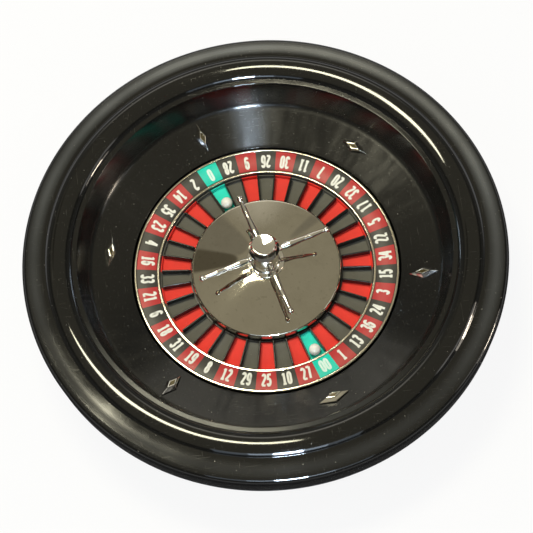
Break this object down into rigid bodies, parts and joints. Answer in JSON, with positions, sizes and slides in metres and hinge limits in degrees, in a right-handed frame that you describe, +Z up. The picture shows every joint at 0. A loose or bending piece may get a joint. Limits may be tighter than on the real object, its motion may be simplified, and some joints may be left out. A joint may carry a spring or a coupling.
{
  "type": "roulette wheel",
  "caption": "Double-zero roulette wheel: a deep moulded bowl with a ball track and diamond deflectors, and a numbered rotor that spins on ball bearings under a handled turret.",
  "frame": {"origin": "on the spindle's axis, on the surface that the feet stand on", "axes": "+Z up along the spindle's axis, +X to the picture's right"},
  "size_m": [0.508, 0.508, 0.11],
  "materials": {
    "gloss_black": "gloss",
    "matt_black": "satin",
    "bright_plate": "polished",
    "plain_steel": "satin",
    "foot_rubber": "matt",
    "printed_ring": "satin print",
    "pocket_colours": "satin",
    "separator_black": "satin",
    "ivory_ball": "polished"
  },
  "bodies": {
    "bowl": {"bowl_shell": "gloss_black", "base_shell": "matt_black", "base_screw_1": "plain_steel", "base_screw_2": "plain_steel", "base_screw_3": "plain_steel", "base_screw_4": "plain_steel", "base_screw_5": "plain_steel", "base_screw_6": "plain_steel", "foot_1": "foot_rubber", "foot_2": "foot_rubber", "foot_3": "foot_rubber", "foot_4": "foot_rubber", "deflector_1": "bright_plate", "deflector_2": "bright_plate", "deflector_3": "bright_plate", "deflector_4": "bright_plate", "deflector_5": "bright_plate", "deflector_6": "bright_plate", "spindle": "plain_steel", "spindle_washer": "plain_steel", "spindle_nut": "plain_steel", "bearing_inner_lower": "plain_steel", "bearing_inner_upper": "plain_steel", "bearing_spacer": "plain_steel", "spindle_clip": "plain_steel"},
    "rotor": {"rotor_pan": "matt_black", "bearing_outer_lower": "plain_steel", "bearing_outer_upper": "plain_steel", "hub_sleeve": "plain_steel", "number_ring": "printed_ring", "outer_trim_ring": "bright_plate", "inner_trim_ring": "bright_plate", "pocket_ring": "pocket_colours", "fret_ring": "separator_black", "cone_dish": "bright_plate", "turret_column": "bright_plate", "turret_cap": "bright_plate", "turret_nut": "plain_steel", "turret_arm_1": "bright_plate", "turret_arm_2": "bright_plate", "turret_arm_3": "bright_plate", "turret_arm_4": "bright_plate"},
    "lower_cage": {"bearing_cage_lower": "plain_steel"},
    "upper_cage": {"bearing_cage_upper": "plain_steel"},
    "ball_a": {"ball_a": "ivory_ball"},
    "ball_b": {"ball_b": "ivory_ball"}
  },
  "joints": [
    {"name": "rotor_spin", "type": "hinge", "parent": "bowl", "child": "rotor", "pos_m": [0, 0, 0.042], "axis": [0, 0, 1], "continuous": true},
    {"name": "lower_cage_spin", "type": "hinge", "parent": "bowl", "child": "lower_cage", "pos_m": [0, 0, 0.0348], "axis": [0, 0, 1], "continuous": true},
    {"name": "upper_cage_spin", "type": "hinge", "parent": "bowl", "child": "upper_cage", "pos_m": [0, 0, 0.0492], "axis": [0, 0, 1], "continuous": true},
    {"name": "ball_a_lift", "type": "slide", "parent": "rotor", "child": "ball_a", "axis": [0, 0, 1], "range_m": [0, 0.08]},
    {"name": "ball_b_lift", "type": "slide", "parent": "rotor", "child": "ball_b", "axis": [0, 0, 1], "range_m": [0, 0.08]}
  ],
  "couplings": [
    {"joint": "lower_cage_spin", "follows": "rotor_spin", "ratio": 0.6267},
    {"joint": "upper_cage_spin", "follows": "rotor_spin", "ratio": 0.6267}
  ]
}
